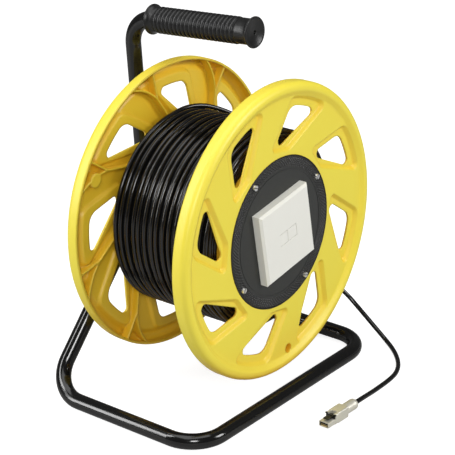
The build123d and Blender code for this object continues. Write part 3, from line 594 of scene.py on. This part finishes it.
def grip_profile():
    """Outline of the ribbed sleeve from its rear flange to its closed front end."""
    outline = [
        (8.25, 30.0), (8.25, 0.5), (8.7, 0.0), (15.0, 0.0), (15.45, 0.12), (15.72, 0.45), (15.8, 0.9),
        (15.74, 1.4), (15.5, 1.8), (15.1, 2.15), (14.6, 2.7), (14.1, 3.6), (13.65, 4.9), (13.3, 6.4),
        (13.05, 7.9), (12.75, 9.1), (12.15, 9.7),
    ]
    ribs, pitch, start = 20, 5.15, 9.8
    valley, crest = 12.1, 13.8
    for rib in range(ribs):
        for share in (0.0, 0.06, 0.15, 0.28, 0.42, 0.58, 0.72, 0.85, 0.94):
            swell = max(0.0, 1 - (2 * share - 1) ** 2) ** 0.45
            outline.append((valley + (crest - valley) * swell, start + (rib + share) * pitch))
    finish_line = start + ribs * pitch
    length = 131.718
    outline += [
        (12.1, finish_line), (12.75, finish_line + 0.35), (13.05, finish_line + 1.2),
        (13.1, finish_line + 3.0),
        (13.1, finish_line + 9.0), (13.15, length - 5.6), (13.4, length - 4.2), (13.9, length - 3.1),
        (14.6, length - 2.4), (15.2, length - 2.05), (15.6, length - 1.65), (15.8, length - 1.1),
        (15.75, length - 0.55), (15.5, length - 0.15), (15.1, length), (13.6, length), (13.3, length - 0.12),
        (13.1, length - 0.3), (2.6, length - 0.3), (2.15, length - 0.45), (2.0, length - 0.8),
        (2.0, length - 4.8), (0.02, length - 4.8),
    ]
    return [(radius * MM, along * MM) for radius, along in outline]


grip_rear = (0, 71.55 * MM, 382.204 * MM)
grip_direction = (0, -1, 0.0639)
grip_sleeve = turned_piece("grip_sleeve", grip_profile(), grip_rear, grip_direction, 96, grip_rubber)
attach(grip_sleeve, "stand")
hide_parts("handle_grip")


# ---- Knurled band of the insert plate ----------------------------------------------------------


def knurled_band():
    """Diamond knurling in a ring near the plate's edge, smooth round the screw heads."""
    inner, outer = 68.2, 78.5
    middle = (inner + outer) / 2
    diamonds, across, along = 124, 26, 1240
    pitch = 2 * math.pi * middle / diamonds
    screw_ring, screw_turn, screw_count = 74.2, 34.2, 4
    screw_clearance = 3.9
    screw_angles = [math.radians(screw_turn + 360 / screw_count * turn) for turn in range(screw_count)]
    screws = [(screw_ring * math.cos(angle), screw_ring * math.sin(angle)) for angle in screw_angles]
    points, faces = [], []
    for ring in range(across + 1):
        radius = inner + (outer - inner) * ring / across
        border = min(ease((radius - inner) / 0.7), ease((outer - radius) / 0.7))
        for step in range(along):
            angle = 2 * math.pi * step / along
            x, z = radius * math.cos(angle), radius * math.sin(angle)
            left = math.pi * (angle * middle + radius) / pitch
            right = math.pi * (angle * middle - radius) / pitch
            off_left, off_right = (abs(lean % math.pi / math.pi * 2 - 1) for lean in (left, right))
            raised = min(1.15 - 1.15 * max(off_left, off_right), 0.9)
            for screw_x, screw_z in screws:
                raised *= ease((math.hypot(x - screw_x, z - screw_z) - screw_clearance) / 0.8)
            height = 0.03 + 1.1 * raised * border
            points.append(around_hub(radius * MM, angle, face_of_web - height * MM))
    for ring in range(across):
        for step in range(along):
            after = (step + 1) % along
            low, high = ring * along, (ring + 1) * along
            faces.append((low + step, low + after, high + after, high + step))
    return mesh_piece("plate_knurling", points, faces, knurled_plastic)


plate_knurling = knurled_band()
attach(plate_knurling, "drum")


# a thin black ring round the plate's edge: a painted shadow line between the plate and the flange
shadow_ring_outline = [
    (78.8, -0.2), (78.9, 0.35), (79.2, 0.55), (80.0, 0.55), (80.35, 0.3), (80.45, -0.2), (78.8, -0.2),
]
plate_shadow_ring = turned_piece(
    "plate_shadow_ring", [(radius * MM, along * MM) for radius, along in shadow_ring_outline],
    (0, face_of_web, hub_height), (0, -1, 0), 180, dark_plastic,
)
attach(plate_shadow_ring, "drum")


# ---- Plug front ------------------------------------------------------------------------------


plug_rear = Vector((24.8, -166.7, 6.5))
plug_length = 52.5
plug_skew = 1.6


def plug_point(along, across, up):
    """Place on the plug from its rear end: along its length, to its left and up, in mm."""
    forward = Vector((-math.sqrt(plug_length**2 - plug_skew**2), plug_skew, 0)) / plug_length
    left = Vector((-forward.y, forward.x, 0))
    return (plug_rear + forward * along + left * across + Vector((0, 0, up))) * MM


def plug_mouth_shade():
    """Black sheet in the bezel's mouth above the nose, a painted shade for its dark recess, with a black lug
    at each upper corner.
    """
    half = [(5.5, 0.9), (5.5, 4.0), (6.55, 4.2), (6.55, 5.6), (4.3, 5.6), (3.9, 4.1)]
    outline = half + [(-across, up) for across, up in reversed(half)]
    middle = 3.2
    rings = [(40.1, 1.0), (41.3, 1.0), (41.5, 0.96)]
    points = [
        plug_point(along, across * inset, middle + (up - middle) * inset)
        for along, inset in rings for across, up in outline
    ]
    count = len(outline)
    faces = []
    for ring in range(len(rings) - 1):
        for corner in range(count):
            after = (corner + 1) % count
            low, high = ring * count, (ring + 1) * count
            faces.append((low + corner, high + corner, high + after, low + after))
    last = count * (len(rings) - 1)
    faces.append(tuple(range(count)))
    faces.append(tuple(reversed(range(last, last + count))))
    return mesh_piece("plug_mouth_shade", points, faces, dark_plastic, smooth=False)


plug_mouth_shade_piece = plug_mouth_shade()
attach(plug_mouth_shade_piece, "stand")
plug_pieces = [
    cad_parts[node]
    for node in (
        "plug_collar", "plug_shell", "plug_bezel", "plug_nose", "plug_insulator", "plug_contacts",
        "plug_latch",
    )
]
plug_pieces.append(plug_mouth_shade_piece)


# ---- Floor and light -------------------------------------------------------------------------


def studio_floor():
    half = 8.0
    mesh = bpy.data.meshes.new("studio_floor")
    corners = [(-half, -half, 0), (half, -half, 0), (half, half, 0), (-half, half, 0)]
    mesh.from_pydata(corners, [], [(0, 1, 2, 3)])
    floor = bpy.data.objects.new("studio_floor", mesh)
    bpy.context.scene.collection.objects.link(floor)
    material = bpy.data.materials.new("pale_floor")
    material.use_nodes = True
    shader = material.node_tree.nodes["Principled BSDF"]
    shader.inputs["Base Color"].default_value = (0.44, 0.44, 0.44, 1)
    shader.inputs["Roughness"].default_value = 0.6
    shader.inputs["Specular IOR Level"].default_value = 0.2
    shader.inputs["Emission Color"].default_value = (1, 1, 1, 1)
    tree = material.node_tree
    seen = tree.nodes.new("ShaderNodeLightPath").outputs["Is Camera Ray"]
    wire(tree, calculate(tree, "MULTIPLY", seen, 0.85), shader.inputs["Emission Strength"])
    mesh.materials.append(material)


def soft_light(name, place, aim, size, power):
    data = bpy.data.lights.new(name, "AREA")
    data.shape = "RECTANGLE"
    data.size, data.size_y = size
    data.energy = power
    light = bpy.data.objects.new(name, data)
    bpy.context.scene.collection.objects.link(light)
    light.location = place
    light.rotation_euler = (Vector(aim) - Vector(place)).to_track_quat("-Z", "Y").to_euler()


studio_floor()
reel_middle = (0, 0, 0.18)
soft_light("front_light", (0.9, -2.2, 1.3), reel_middle, (0.9, 0.9), 34)
soft_light("top_light", (-0.2, 0.1, 2.4), reel_middle, (2.2, 2.2), 32)
soft_light("left_light", (-1.6, 1.3, 1.3), reel_middle, (0.4, 2.2), 33)
soft_light("camera_light", (-1.9, -1.6, 1.5), reel_middle, (0.7, 0.7), 31)

world = bpy.data.worlds.new("studio")
bpy.context.scene.world = world
world.use_nodes = True
background = world.node_tree.nodes["Background"]
background.inputs["Color"].default_value = (1, 1, 1, 1)
seen_behind = world.node_tree.nodes.new("ShaderNodeLightPath").outputs["Is Camera Ray"]
behind_strength = calculate(world.node_tree, "MULTIPLY_ADD", seen_behind, 0.9, 0.10)
wire(world.node_tree, behind_strength, background.inputs["Strength"])
bpy.context.scene.view_settings.view_transform = "Standard"
bpy.context.scene.view_settings.look = "None"
